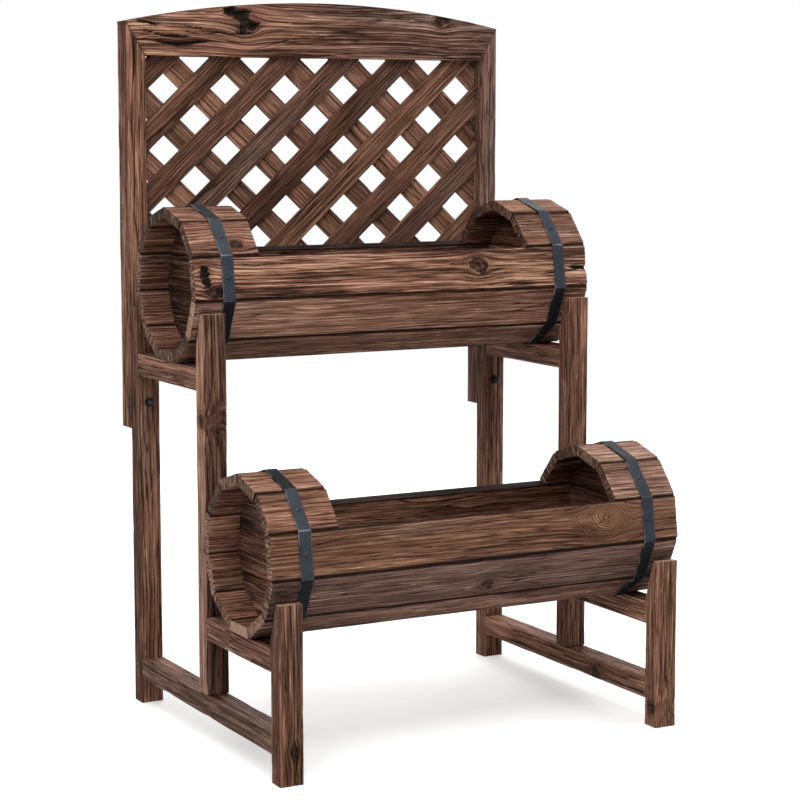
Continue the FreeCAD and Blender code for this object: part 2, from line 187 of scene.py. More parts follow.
class Crack:
    """An open crack: its width and its points along and across a board from the middle, in millimetres."""

    def __init__(self, width, *points):
        self.width = width / millimetres
        self.points = np.array(points) / millimetres


# Noise that is the same on every run

def hashed(x, y, z):
    """A value from 0 to 1 for each point of a whole-number lattice."""
    mixed = np.uint32(0)
    for part, factor in ((x, 374761393), (y, 668265263), (z, 2246822519)):
        mixed = mixed + part.astype(np.int64).astype(np.uint32) * np.uint32(factor)
    mixed = (mixed ^ (mixed >> np.uint32(13))) * np.uint32(1274126177)
    mixed = mixed ^ (mixed >> np.uint32(16))
    return mixed / 4294967295.0


def noise(points, scales, seed):
    """Smooth noise from -1 to 1. The scales are cycles to the metre along each direction."""
    x, y, z = (points * np.array(scales) + seed * np.array([17.31, 5.77, 9.13])).T
    x0, y0, z0 = np.floor(x), np.floor(y), np.floor(z)
    u, v, w = (part * part * (3 - 2 * part) for part in (x - x0, y - y0, z - z0))
    total = 0
    for dx, wx in ((0, 1 - u), (1, u)):
        for dy, wy in ((0, 1 - v), (1, v)):
            for dz, wz in ((0, 1 - w), (1, w)):
                total = total + hashed(x0 + dx, y0 + dy, z0 + dz) * wx * wy * wz
    return total * 2 - 1


def smooth(low, high, value):
    """0 below low and 1 above high, with a soft step between."""
    share = np.clip((value - low) / (high - low), 0, 1)
    return share * share * (3 - 2 * share)


def luck(seed, step=0):
    """A chance value from 0 to 1 that is the same on every run."""
    return float(hashed(*[np.array([value]) for value in (seed * 7.0, step * 3.0, seed + step)])[0])


def furrow(ring):
    """How deep the brush has cut each growth ring, from 0 to 1: slowly down, then steeply back up."""
    part = ring - np.floor(ring)
    return smooth(0.5, 0.88, part) * (1 - smooth(0.92, 1, part))


# Boards

class Board:
    """One board. Its place function draws the points of a plain block to the board's real shape."""

    def __init__(self, axes, size, place, seed, tone=Tone(), marks=(), end_share=None,
                 edge_radius=frame_edge_radius, levels=((), (), ()), grooved=False):
        self.axes = np.array(axes)
        self.size = np.array(size)
        self.place = place
        self.seed = seed
        self.tone = tone
        self.knots = [mark for mark in marks if isinstance(mark, Knot)]
        self.cracks = [mark for mark in marks if isinstance(mark, Crack)]
        self.end_share = luck(seed, 9) if end_share is None else end_share
        self.edge_radius = edge_radius
        self.levels = levels
        self.grooved = grooved

    def noise(self, points, scales, number):
        """Noise from -1 to 1 that is this board's own."""
        return noise(points, scales, self.seed + number)

    def patches(self, points, scales, number):
        """Noise from 0 to 1 that is this board's own."""
        return 0.5 + 0.5 * self.noise(points, scales, number)

    def stations(self, direction):
        """Where the block is divided along one of its directions."""
        half = self.size[direction] / 2
        core = half - self.edge_radius
        cell = cell_along if direction == 0 else cell_across
        places = list(np.linspace(-core, core, max(2, round(2 * core / cell) + 1)))
        for share in edge_shares:
            places += [-half + share * self.edge_radius, half - share * self.edge_radius]
        places += list(self.levels[direction])
        for knot in self.knots if direction == 0 else ():
            reach = max(2 * knot.radius, 1.1 * swirl_length_share * knot.swirl)
            places += list(np.arange(knot.along - reach * knot.tail, knot.along + reach, cell_at_mark))
        places = np.unique(np.clip(np.round(places, 6), -half, half))
        keep = np.append(True, np.diff(places) > self.edge_radius * 0.2)
        keep[-1] = True
        return places[keep]

    def rings(self, grain):
        """The number of growth rings from the pith, which lies beside or behind the board."""
        chances = [luck(self.seed, step) for step in range(4)]
        side = 1 if chances[0] < 0.5 else -1
        pith_across = side * (pith_least_side_share + pith_extra_side_share * chances[1]) * self.size[1]
        pith_across = pith_across + pith_slant * (chances[2] - 0.5) * grain[:, 0]
        for height, scales, number in pith_bends:
            pith_across += height * self.noise(grain * along_x, scales, number)
        pith_depth = -(pith_least_depth + pith_extra_depth * chances[3]) - self.size[2] / 2
        radius = np.hypot(grain[:, 1] - pith_across, grain[:, 2] - pith_depth)
        for height, scales, number in ring_bends:
            radius += height * self.noise(grain, scales, number)
        return radius / ring_spacing + ring_drift * self.noise(grain, (1.5, 14, 14), 80)

    def knot_field(self, grain):
        """The grain bent round the knots, the nearest knot's coordinates and weight, hollows and swirls."""
        bent = grain.copy()
        field = np.zeros((len(grain), 3))
        field[:, :2] = 9
        hollow = np.zeros(len(grain))
        swirl = np.zeros((len(grain), 3))
        for knot in self.knots:
            cross = 2 if knot.side else 1
            along = grain[:, 0] - knot.along
            away = grain[:, cross] - knot.across
            flow = max(knot.radius, knot.swirl * swirl_flow_share)
            squared = (along / flow / knot_length_share) ** 2 + (away / flow) ** 2
            spread = 1 - 1.15 / (squared + 0.35)
            bent[:, cross] += away * (np.maximum(spread, 0) - 1) * np.exp(-squared / knot_bend_fade)
            u = along / knot.radius / knot_length_share
            v = away / knot.radius
            distance = np.hypot(u, v)
            weight = np.clip(1.6 - distance / 2.6, 0, 1)
            nearer = weight > field[:, 2]
            field[nearer] = np.stack([u, v, weight], 1)[nearer]
            ragged = distance + 0.45 * self.noise(grain, (130, 200, 200), 7)
            ragged += 0.2 * noise(grain, (60, 90, 90), 5)
            cut = 1 - smooth(1 - hollow_softness, 1 + hollow_softness, ragged * 1.15)
            hollow = np.maximum(hollow, knot.hollow * cut)
            if knot.swirl:
                stretch = swirl_length_share * np.where(along < 0, knot.tail, 1)
                out = np.hypot(along / stretch, away)
                share = (1 - smooth(0.6, 1.15, out / knot.swirl)) * smooth(0.9, 1.3, distance)
                out = out + swirl_uneven_share * knot.swirl * self.noise(grain, (30, 50, 50), 8)
                out = np.abs(out + swirl_wobble * self.noise(grain, (90, 160, 160), 9))
                more = share > swirl[:, 1]
                swirl[more, 0] = out[more] / swirl_spacing
                swirl[more, 1] = share[more]
        return bent, field, hollow, swirl

    def crack_field(self, grain):
        """Millimetres across to the nearest crack and half its width there, and how deep it is."""
        field = np.zeros((len(grain), 3))
        field[:, 0] = crack_none
        depth = np.zeros(len(grain))
        for crack in self.cracks:
            along, across = crack.points.T
            line = np.interp(grain[:, 0], along, across)
            line += crack_wobble * self.noise(grain * along_x, (55, 1, 1), 90)
            share = np.clip((grain[:, 0] - along[0]) / (along[-1] - along[0]), 0, 1)
            taper = np.sqrt(np.clip(4 * share * (1 - share), 0, 1))
            away = grain[:, 1] - line
            half = crack.width / 2 * taper * np.clip(2 - np.abs(away) / crack_reach, 0, 1)
            nearer = np.abs(away) < np.abs(field[:, 0] / millimetres)
            field[nearer, 0] = away[nearer] * millimetres
            field[nearer, 1] = half[nearer] * millimetres
            steep = np.exp(-(away / (crack.width * crack_slope_share)) ** 2)
            depth = np.maximum(depth, crack.width * taper * steep)
        return field, depth

    def groove(self, flat):
        """1 at the bottom of the grooves between staves, where the material paints shade and no furrows are
        brushed.
        """
        if not self.grooved:
            return np.zeros(len(flat))
        above = np.maximum(flat[:, 2] - self.size[2] / 2 + stave_chamfer, 0)
        return 1 - smooth(0, groove_width, self.size[1] / 2 - np.abs(flat[:, 1]) + above)

    def build(self):
        """Points, quads and point attributes of the board's surface."""
        half = self.size / 2
        centre = self.place(np.zeros((1, 3)))[0]
        lines = [self.stations(direction) for direction in range(3)]
        index, quads = block_surface(*[len(line) - 1 for line in lines])
        flat = np.stack([line[index[:, i]] for i, line in enumerate(lines)], 1)
        blocky = flat / half
        at_edge = np.sort(half - np.abs(flat), 1)[:, 1]
        wear = 1 - smooth(0, wear_reach_share * self.edge_radius, at_edge)
        end = smooth(0.9, 1, (np.abs(blocky[:, 0]) - 1) * half[0] / self.edge_radius + 1)

        core = np.clip(flat, -(half - self.edge_radius), half - self.edge_radius)
        over = flat - core
        reach = np.linalg.norm(over, axis=1, keepdims=True)
        rounded = core + over * np.where(reach > tiny, self.edge_radius / np.maximum(reach, tiny), 1)
        loose = 1 + wear_spread * self.noise(flat, (28, 90, 90), 11)
        world = self.place(flat + (rounded - flat) * loose[:, None])

        grain = (world - centre) @ self.axes.T
        cracks, crack_depth = self.crack_field(grain)
        grain, knots, hollow, swirl = self.knot_field(grain)
        ring = self.rings(grain)
        cracks[:, 2] = hollow * millimetres

        if np.linalg.det(self.axes) < 0:
            quads = quads[:, ::-1]
        normal = point_normals(world, quads)
        sides = 1 - end
        furrows = furrow(ring) * (1 - swirl[:, 1]) + furrow(swirl[:, 0]) * swirl[:, 1]
        depth = brushed_depth * furrows * (end_furrow_share + (1 - end_furrow_share) * sides)
        depth += brushed_depth * fibre_depth_share * self.patches(grain, (22, 260, 260), 12)
        depth += uneven_depth * self.patches(grain, (9, 22, 22), 13) * sides
        depth += saw_mark_depth * end * self.patches(grain, (60, 500, 120), 14)
        groove = self.groove(flat)
        depth = (depth + hollow + crack_depth) * (1 - groove)

        tone = np.tile(np.array(self.tone[:3], float), (len(world), 1))
        # Painted light: side_light lightens the board's left side, and on the heads the drift lightens the
        # front part.
        drift = self.tone.drift * blocky[:, 0]
        tone[:, 0] += drift + self.tone.side_light * smooth(-0.94, -1, blocky[:, 1])
        tone[:, 1] += drift_warmth * drift
        return world - normal * depth[:, None], quads, {
            "ring": ring,
            "swirl": swirl,
            "grain": grain + np.array([self.seed * 1.37, self.seed * 0.73, self.seed * 0.41]),
            "knot": knots,
            "crack": cracks,
            "tone": tone,
            "worn": np.stack([wear, end, np.full(len(world), self.end_share)], 1),
            "groove": groove,
        }


def grid_quads(numbers):
    """The quads between the rows and columns of a grid of points' numbers."""
    parts = [numbers[:-1, :-1], numbers[1:, :-1], numbers[1:, 1:], numbers[:-1, 1:]]
    return np.stack(parts, -1).reshape(-1, 4)


def ring_quads(numbers, closed):
    """The quads between rows of points that each go round; closed is 1 where the rows go round as well."""
    return grid_quads(np.pad(numbers, ((0, closed), (0, 1)), mode="wrap"))[:, [0, 3, 2, 1]]


def block_surface(nx, ny, nz):
    """The lattice places and the quads on the surface of a block of cells."""
    numbers = np.full((nx + 1, ny + 1, nz + 1), -1)
    surface = np.ones_like(numbers, bool)
    surface[1:-1, 1:-1, 1:-1] = False
    numbers[surface] = np.arange(surface.sum())
    quads = []
    for sheet, turned in ((numbers[:, :, -1], False), (numbers[:, :, 0], True),
                          (numbers[:, -1, :], True), (numbers[:, 0, :], False),
                          (numbers[-1, :, :], False), (numbers[0, :, :], True)):
        faces = grid_quads(sheet)
        quads.append(faces[:, ::-1] if turned else faces)
    return np.argwhere(surface), np.concatenate(quads)


def point_normals(points, quads):
    """The outward direction at each point."""
    first, second, third, fourth = points[quads.T]
    face = np.cross(third - first, fourth - second)
    total = np.zeros_like(points)
    for corner in range(4):
        for direction in range(3):
            total[:, direction] += np.bincount(quads[:, corner], face[:, direction], len(points))
    return total / np.maximum(np.linalg.norm(total, axis=1, keepdims=True), tiny)


def join(shapes):
    """One set of points and quads from several."""
    points, quads, offset = [], [], 0
    for shape_points, shape_quads in shapes:
        points.append(shape_points)
        quads.append(shape_quads + offset)
        offset += len(shape_points)
    return np.concatenate(points), np.concatenate(quads)


def add_piece(name, node, slot, points, quads, attributes):
    """A smooth-shaded object that stands for one CAD node."""
    mesh = bpy.data.meshes.new(name)
    mesh.from_pydata(points.tolist(), [], quads.tolist())
    for label, values in attributes.items():
        kind, field = ("FLOAT", "value") if values.ndim == 1 else ("FLOAT_VECTOR", "vector")
        data = mesh.attributes.new(label, kind, "POINT").data
        data.foreach_set(field, values.astype(np.float32).ravel())
    mesh.shade_smooth()
    mesh.materials.append(materials[slot])
    piece = bpy.data.objects.new(name, mesh)
    bpy.context.scene.collection.objects.link(piece)
    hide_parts(node)
    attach(piece, "root")


def timber(node, boards, slot):
    """The boards that stand for one CAD node, as one object."""
    built = [board.build() for board in boards]
    attributes = {label: np.concatenate([parts[2][label] for parts in built]) for label in built[0][2]}
    add_piece(f"{node}_timber", node, slot, *join([parts[:2] for parts in built]), attributes)


def corners(node):
    """A CAD node's lowest and highest corners."""
    low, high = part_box(node)
    return np.array(low), np.array(high)


def looks(node):
    """A board's tone and marks, from the tables below."""
    return {"tone": tones.get(node, Tone()), "marks": marks.get(node, ())}


def box_board(node, axes, seed, **settings):
    """A square-ended board as large as its CAD node."""
    low, high = corners(node)
    axes = np.array(axes)
    size = np.abs(axes) @ (high - low)
    centre = (low + high) / 2
    return Board(axes, size, lambda p: centre + p @ axes, seed, **looks(node), **settings)


# Side frames

leg_axes = (along_z, along_x, -along_y)
rail_axes = (along_y, along_z, -along_x)
cross_axes = (along_x, along_z, -along_y)
side_parts = {"front_leg": leg_axes, "mid_leg": leg_axes, "back_leg": leg_axes,
              "bottom_rail": rail_axes, "lower_cross_rail": rail_axes, "upper_cross_rail": rail_axes}
seated_parts = ("front_leg", "mid_leg")


def seat_barrel(board, node):
    """Cuts the top of a leg away behind, to seat a barrel."""
    low, high = corners(node)
    straight = board.place
    board.levels = (((high[2] - low[2]) / 2 - seat_cut_height,), (), ())

    def place(p):
        world = straight(p)
        share = np.clip((world[:, 2] - high[2] + seat_cut_height) / seat_cut_height, 0, 1)
        keep = 1 - share * seat_cut_depth / (high[1] - low[1])
        world[:, 1] = low[1] + (world[:, 1] - low[1]) * keep
        return world

    board.place = place


def dress_side_frames():
    """The legs and rails of both sides."""
    seed = 0
    for side in ("left", "right"):
        for part, axes in side_parts.items():
            node = f"{side}_{part}"
            seed += 1
            board = box_board(node, axes, seed)
            if part in seated_parts:
                seat_barrel(board, node)
            timber(node, [board], "frame_wood")


# Barrels

stave_turn = 2 * math.pi / stave_count
full_staves = {
    "bottom_stave": 0, "front_bottom_stave": 1, "front_under_stave": 2, "front_stave": 3,
    "back_bottom_stave": -1, "back_under_stave": -2, "back_stave": -3,
}
top_staves = {"front_top_staves": (4, 5), "back_top_staves": (-4, -5)}
nailed_steps = (-4, -3, -1, 1, 3, 4)
head_seams = (-barrel_radius, -head_seam_offset, head_seam_offset, barrel_radius)


def outward(step):
    """The direction out of a barrel at a stave: 0 is the bottom, and 1 is next towards the front."""
    angle = step * stave_turn - math.pi / 2
    return np.array([0, -math.cos(angle), math.sin(angle)])


def barrel_axis(name):
    """A point on a barrel's axis, from its bottom stave."""
    low, high = corners(f"{name}_bottom_stave")
    return np.array([0, (low[1] + high[1]) / 2, low[2] + barrel_radius])


def stave(axis, step, node, seed, **settings):
    """A stave with radial sides and chamfered outer edges. Its ends stop a little short, unevenly."""
    low, high = corners(node)
    low_x, high_x = low[0] + end_jag * luck(seed, 1), high[0] - end_jag * luck(seed, 2)
    out = outward(step)
    across = np.cross(out, along_x)
    taper = math.tan(stave_turn / 2)
    middle = np.array([(low_x + high_x) / 2, 0, 0]) + axis
    widest = (barrel_radius - stave_chamfer) * taper - stave_gap / 2
    shoulder = stave_thickness / 2 - stave_chamfer

    def place(p):
        radius = barrel_radius - stave_thickness / 2 + p[:, 2]
        half = np.minimum(radius * taper, widest)
        half = half - np.clip(p[:, 2] - shoulder, 0, stave_chamfer) * chamfer_run_share
        side = p[:, 1] / widest * half
        return middle + p[:, :1] * along_x + side[:, None] * across + radius[:, None] * out

    return Board((along_x, across, out), (high_x - low_x, 2 * widest, stave_thickness), place, seed,
                 edge_radius=stave_edge_radius, levels=((), (), (shoulder,)), grooved=True, **settings)


def half_width_at(height, radius):
    """How far an upright polygon with a flat bottom reaches to each side at a height over its middle."""
    reach = np.full(len(height), radius * 2)
    for step in range(stave_count):
        out = outward(step)
        if out[1] > tiny:
            reach = np.minimum(reach, (radius - height * out[2]) / out[1])
    return np.maximum(reach, stave_edge_radius)


def head_board(axis, node, bottom, top, seed):
    """A board of a barrel's head, between two heights over the axis."""
    low, high = corners(node)
    radius = barrel_radius - stave_thickness - head_clearance
    top = min(top - head_clearance / 2, radius / math.cos(stave_turn / 2) - stave_edge_radius)
    bottom = max(bottom + head_clearance / 2, -radius)
    middle = np.array([(low[0] + high[0]) / 2, axis[1], axis[2]])
    facing = -1 if middle[0] < 0 else 1
    centre_height = (bottom + top) / 2
    length = 2 * half_width_at(np.array([centre_height]), radius)[0]

    def place(p):
        height = p[:, 1] + centre_height
        y = p[:, 0] / (length / 2) * half_width_at(height, radius)
        return middle + y[:, None] * along_y + height[:, None] * along_z + p[:, 2:] * along_x * facing

    return Board((along_y, along_z, facing * along_x), (length, top - bottom, high[0] - low[0]), place, seed,
                 edge_radius=stave_edge_radius, **looks(node))


def dress_barrel(name, seed):
    """The staves and heads of one barrel."""
    axis = barrel_axis(name)
    for stave_name, step in full_staves.items():
        node = f"{name}_{stave_name}"
        seed += 1
        end_share = end_shares.get(node, usual_end_share)
        timber(node, [stave(axis, step, node, seed, end_share=end_share, **looks(node))], "barrel_wood")
    for end in ("left", "right"):
        for pair_name, steps in top_staves.items():
            node = f"{name}_{end}_{pair_name}"
            boards = []
            for step in steps:
                seed += 1
                boards.append(stave(axis, step, node, seed, end_share=short_end_share,
                                    tone=tones.get(node, short_tone), marks=marks.get(f"{node}_{step}", ())))
            timber(node, boards, "barrel_wood")
        node = f"{name}_{end}_head"
        boards = []
        for bottom, top in zip(head_seams, head_seams[1:]):
            seed += 1
            boards.append(head_board(axis, node, bottom, top, seed))
        timber(node, boards, "head_wood")


# Steel straps and nails

flat_points = 5
bend_points = 6
section_points = 9
nail_turns = 20
nail_dome_steps = 6
nail_tilt_share = 0.06


def polygon_ring(radius, bend_radius):
    """Points and outward directions round a polygon with a side for each stave and bent corners.

    For each point it also says which side it is on, and how far into a bend.
    """
    points, directions, places = [], [], []
    inset = (radius - bend_radius) / math.cos(stave_turn / 2)
    flat_half = (radius - bend_radius) * math.tan(stave_turn / 2)
    for step in range(stave_count):
        out = outward(step)
        across = np.cross(out, along_x)
        for share in np.linspace(-1, 1, flat_points + 2)[1:-1]:
            points.append(out * radius + across * flat_half * share)
            directions.append(out)
            places.append((step, 0))
        centre = outward(step + 0.5) * inset
        for turn in np.linspace(0, 1, bend_points):
            direction = outward(step + turn)
            points.append(centre + direction * bend_radius)
            directions.append(direction)
            places.append((step + turn, 1 - abs(2 * turn - 1)))
    return np.array(points), np.array(directions), np.array(places).T


def strap(node, axis):
    """A flat steel strap bent round the staves, with eased edges and shallow hammered dents."""
    low, high = corners(node)
    middle_x = (low[0] + high[0]) / 2
    half_width = (high[0] - low[0]) / 2
    points, directions, (steps, bends) = polygon_ring(barrel_radius, strap_bend_radius)
    steps = np.abs((steps + stave_count / 2) % stave_count - stave_count / 2)
    # Painted light: the facets round the lit step, which face forwards and backwards a little up, are painted
    # lit and the rest in shade.
    lit_facets = np.exp(-((steps - lit_facet_step) / lit_facet_spread) ** 2)
    edge = strap_edge_radius
    eased = edge * strap_eased_share
    outside = strap_thickness
    side = [(-half_width, 0), (-half_width, outside - edge), (-half_width + eased, outside - eased),
            (-half_width + edge, outside)]
    section = side + [(x, outside) for x in np.linspace(-half_width, half_width, section_points)[1:-1]]
    section += [(-x, height) for x, height in reversed(side)]
    rows = np.array([axis + points + directions * height + along_x * (middle_x + x) for x, height in section])
    dents = noise(rows.reshape(-1, 3), strap_dent_scales, 3).reshape(rows.shape[:2])
    lifted = np.array([height > 0 for _, height in section])[:, None]
    rows = rows - directions[None] * (np.clip(dents, 0, 1) * strap_dent_depth * lifted)[..., None]
    quads = ring_quads(np.arange(rows.shape[0] * rows.shape[1]).reshape(rows.shape[:2]), 1)
    sides = np.repeat([abs(x) / half_width for x, _ in section], rows.shape[1])
    # The wear attribute holds each point's nearness to a side edge, the painted light of its facet, and how
    # far into a bend it is.
    wear = np.stack([sides, np.tile(lit_facets, len(section)), np.tile(bends, len(section))], 1)
    world = rows.reshape(-1, 3)
    normal = point_normals(world, quads)
    if (normal * (world - axis - along_x * middle_x)).sum() < 0:
        quads = quads[:, ::-1]
    add_piece(f"{node}_strap", node, "band_steel", world, quads, {"wear": wear})


def lathe(profile, foot, axis, tilt):
    """A turned shape: points of (radius, height) round an axis from its foot, tilted a little."""
    side = np.cross(axis, along_x)
    other = np.cross(axis, side)
    angles = np.arange(nail_turns) * 2 * math.pi / nail_turns
    round_it = np.cos(angles)[:, None] * side + np.sin(angles)[:, None] * other
    rows = [foot + round_it * radius + axis * height + axis * (tilt * radius * np.cos(angles))[:, None]
            for radius, height in profile]
    points = np.concatenate(rows)
    return points, ring_quads(np.arange(len(points)).reshape(len(profile), nail_turns), 0)


def dome_profile(radius, height, steps):
    """Points from a dome's rim to its top."""
    sphere = (radius ** 2 + height ** 2) / (2 * height)
    edge = math.asin(min(radius / sphere, 1))
    return [(sphere * math.sin(edge * (1 - step / steps)) + tiny,
             height - sphere + sphere * math.cos(edge * (1 - step / steps))) for step in range(steps + 1)]


def dress_nails(name):
    """The nails of both straps of a barrel, each struck in a little differently."""
    axis = barrel_axis(name)
    rim = nail_length + nail_rim_height
    profile = [(tiny, 0), (nail_shank_radius, 0), (nail_shank_radius, nail_length),
               (nail_head_radius, nail_length), (nail_head_radius, rim)]
    dome = dome_profile(nail_head_radius, nail_dome_height, nail_dome_steps)
    profile += [(radius, rim + height) for radius, height in dome[1:]]
    shapes = []
    for end in ("left", "right"):
        low, high = corners(f"{name}_{end}_band")
        middle_x = (low[0] + high[0]) / 2
        for step in nailed_steps:
            out = outward(step)
            foot = axis + along_x * middle_x + out * (barrel_radius + strap_thickness - nail_length)
            shapes.append(lathe(profile, foot, out, (luck(step, middle_x + axis[2]) - 0.5) * nail_tilt_share))
    add_piece(f"{name}_nail_heads", f"{name}_band_nails", "black_fixings", *join(shapes), {})


# Trellis

# Each lattice layer's slant, seed and lightness
lattice_layers = {"lattice_front_slats": (1, 120, -0.11), "lattice_back_slats": (-1, 160, 0.05)}


def stile_board(node, side, seed):
    """An upright whose top is cut to the mitre; its side is -1 on the left and 1 on the right."""
    board = box_board(node, leg_axes, seed, edge_radius=mitred_edge_radius)
    straight = board.place
    low, high = corners(node)
    inner_x, outer_x = side * (frame_half_width - stile_width), side * frame_half_width
    inner_top = high[2] - top_rail_end_height

    def place(p):
        world = straight(p)
        share = (world[:, 0] - inner_x) / (outer_x - inner_x)
        top = inner_top + top_rail_end_height * share
        world[:, 2] = low[2] + (world[:, 2] - low[2]) * (top - low[2]) / (high[2] - low[2])
        return world

    board.place = place
    return board


def arch_height(x, stile_top):
    """The height of the arch at X."""
    radius = (frame_half_width ** 2 + arch_rise ** 2) / (2 * arch_rise)
    return stile_top + arch_rise - radius + np.sqrt(radius ** 2 - x ** 2)


def top_rail_board(node, seed):
    """The arched rail between its mitres. Its grain runs straight through the arch."""
    low, high = corners(node)
    stile_top = high[2] - arch_rise
    underside = low[2]
    middle_y = (low[1] + high[1]) / 2
    height = high[2] - low[2]
    inner = frame_half_width - stile_width

    def place(p):
        level = p[:, 1] / height + 0.5
        reach = np.full(len(p), frame_half_width)
        for _ in range(mitre_rounds):
            z = underside + level * (arch_height(reach, stile_top) - underside)
            reach = np.minimum(inner + (z - underside) * stile_width / top_rail_end_height, frame_half_width)
        x = p[:, 0] / frame_half_width * reach
        z = underside + level * (arch_height(x, stile_top) - underside)
        return np.stack([x, middle_y - p[:, 2], z], 1)

    return Board(cross_axes, (2 * frame_half_width, height, high[1] - low[1]), place, seed,
                 edge_radius=mitred_edge_radius, **looks(node))


def clip_line(offsets, middle, up, across, low, high):
    """Where lines parallel to a slat enter and leave the panel."""
    base = middle + offsets[:, None] * across
    starts = np.full(len(offsets), -slat_reach)
    ends = np.full(len(offsets), slat_reach)
    for direction in (0, 2):
        first = (low[direction] - base[:, direction]) / up[direction]
        second = (high[direction] - base[:, direction]) / up[direction]
        starts = np.maximum(starts, np.minimum(first, second))
        ends = np.minimum(ends, np.maximum(first, second))
    return starts, ends


def slat(offsets, line, seed, lightness):
    """One slat, cut off where it enters the frame round the panel."""
    middle, up, across = line[:3]
    width = offsets[-1] - offsets[0]
    centre_offset = (offsets[0] + offsets[-1]) / 2
    mid_start, mid_end = clip_line(np.array([centre_offset]), *line)
    length = (mid_end - mid_start)[0]

    def place(p):
        offsets = p[:, 1] + centre_offset
        starts, ends = clip_line(offsets, *line)
        places = starts + (p[:, 0] / length + 0.5) * (ends - starts)
        return middle + places[:, None] * up + offsets[:, None] * across - p[:, 2:] * along_y

    chance = luck(seed, 3) - 0.5
    tone = Tone(slat_lightness_spread * chance + lightness, slat_warmth_spread * chance, slat_figure)
    return Board((up, across, -along_y), (length, width, slat_thickness), place, seed,
                 edge_radius=slat_edge_radius, tone=tone)


def slat_boards(low, high, slant, seed, lightness):
    """The slats of one layer between the panel's corners; slant is 1 where they rise to the right."""
    up = np.array([slant * lattice_pitch_across, 0, lattice_pitch_up])
    up = up / np.linalg.norm(up)
    across = np.array([-up[2], 0, up[0]])
    columns = math.ceil((high[0] - low[0] + high[2] - low[2]) / lattice_pitch_across)
    offsets = np.linspace(-slat_width / 2, slat_width / 2, slat_lines)
    boards = []
    for column in range(-columns, columns):
        middle_x = (column + 0.5) * lattice_pitch_across
        middle = np.array([middle_x, (low[1] + high[1]) / 2, high[2] - slat_seat])
        line = (middle, up, across, low, high)
        starts, ends = clip_line(offsets, *line)
        inside = offsets[ends - starts > slat_width * shortest_slat_share]
        if len(inside) >= slat_lines * narrowest_slat_share:
            boards.append(slat(inside, line, seed + column, lightness))
    return boards


def dress_trellis():
    """The arched frame and the lattice."""
    for side_name, side in (("left", -1), ("right", 1)):
        node = f"trellis_{side_name}_stile"
        timber(node, [stile_board(node, side, seed=90 + side)], "trellis_wood")
    top_rail, bottom_rail = "trellis_top_rail", "trellis_bottom_rail"
    timber(top_rail, [top_rail_board(top_rail, seed=95)], "trellis_wood")
    timber(bottom_rail, [box_board(bottom_rail, cross_axes, seed=97)], "trellis_wood")
    opening_x = frame_half_width - stile_width + slat_seat
    opening_low = corners(bottom_rail)[1][2] - slat_seat
    opening_high = corners(top_rail)[0][2] + slat_seat
    for node, layer in lattice_layers.items():
        low, high = corners(node)
        panel_low = np.array([-opening_x, low[1], opening_low])
        panel_high = np.array([opening_x, high[1], opening_high])
        timber(node, slat_boards(panel_low, panel_high, *layer), "lattice_wood")


# Marks in millimetres, tones with some painted light and shade, and the lightness of ends

marks = {
    "trellis_top_rail": (
        Knot(-123, 18, 8.2, hollow=3.2),
        Knot(-118, 9, 8.6, hollow=3.2),
        Knot(-119, 0, 7, hollow=3.2),
        Knot(-106, 4, 6, hollow=2.6),
        Knot(-140, 24, 6.8, hollow=2.6),
        Crack(4.6, (-152, 29), (-133, 22.5), (-104, 25)),
        Crack(4, (-113, -1), (-102, 6), (-92, 10)),
        Crack(1.6, (-140, -6), (-118, -7), (-100, -4)),
        Knot(206.8, 18.7, 8.8, hollow=1.4, swirl=15),
        Crack(4.2, (-284.2, 10.3), (-248, 5.2)),
        Crack(3, (-276, -1.7), (-241, -10.8), (-200, -12.2)),
        Crack(5.2, (-257, -18), (-220, -22.1), (-173.5, -17.5)),
        Crack(1.3, (-185, -7.5), (-160, -6), (-130, -8.5)),
        Crack(1.2, (-233, 7), (-180, -1), (-142, -4.5)),
        Crack(1.1, (-110, -30), (-50, -14), (40, -6)),
    ),
    "upper_barrel_front_stave": (
        Knot(-289.5, 13, 4.2, hollow=3.4),
        Knot(-288.5, 8, 4.6, hollow=3.4),
        Knot(-289, 3, 4.4, hollow=3.4),
        Knot(-288, -3, 4.6, hollow=3.4),
        Knot(-286.5, -7.5, 4, hollow=3.2),
        Knot(-280, -18, 6.2, hollow=1.2),
        Knot(-270, -19, 4.6, hollow=1.8),
        Crack(1.6, (-295, -13), (-280, -10.5), (-264, -8.5)),
        Knot(126.9, 4, 10.5, hollow=0.5, swirl=17),
        Crack(2.2, (233, -10.5), (265, -8), (320, -1)),
        Crack(5.6, (276, -0.5), (288, -2.2), (313, -4.8)),
        Crack(1.6, (264, 8), (320, 5)),
    ),
    "lower_barrel_front_stave": (
        Knot(195, 8.5, 1, swirl=31, tail=1.4),
        Crack(0.9, (173, 0.5), (184, 3.5), (190, 9.5)),
        Crack(1.2, (-260, 7), (-190, 19)),
    ),
    "lower_barrel_front_under_stave": (Knot(13.9, -11.4, 6, swirl=16),),
    "upper_barrel_left_front_top_staves_4": (Knot(19.4, -12.4, 6, swirl=15),),
    "left_front_leg": (
        Knot(-71.6, 4.1, 5.8, hollow=0.8),
        Crack(1.6, (-102, 7.5), (-76, 5), (-56, 6)),
    ),
    "right_front_leg": (Knot(-87.5, 0, 6.5, side=True),),
    "left_mid_leg": (Knot(113.7, 2.3, 6, swirl=14, side=True),),
    "right_bottom_rail": (Knot(-95.1, -7.3, 7.5, swirl=16),),
}
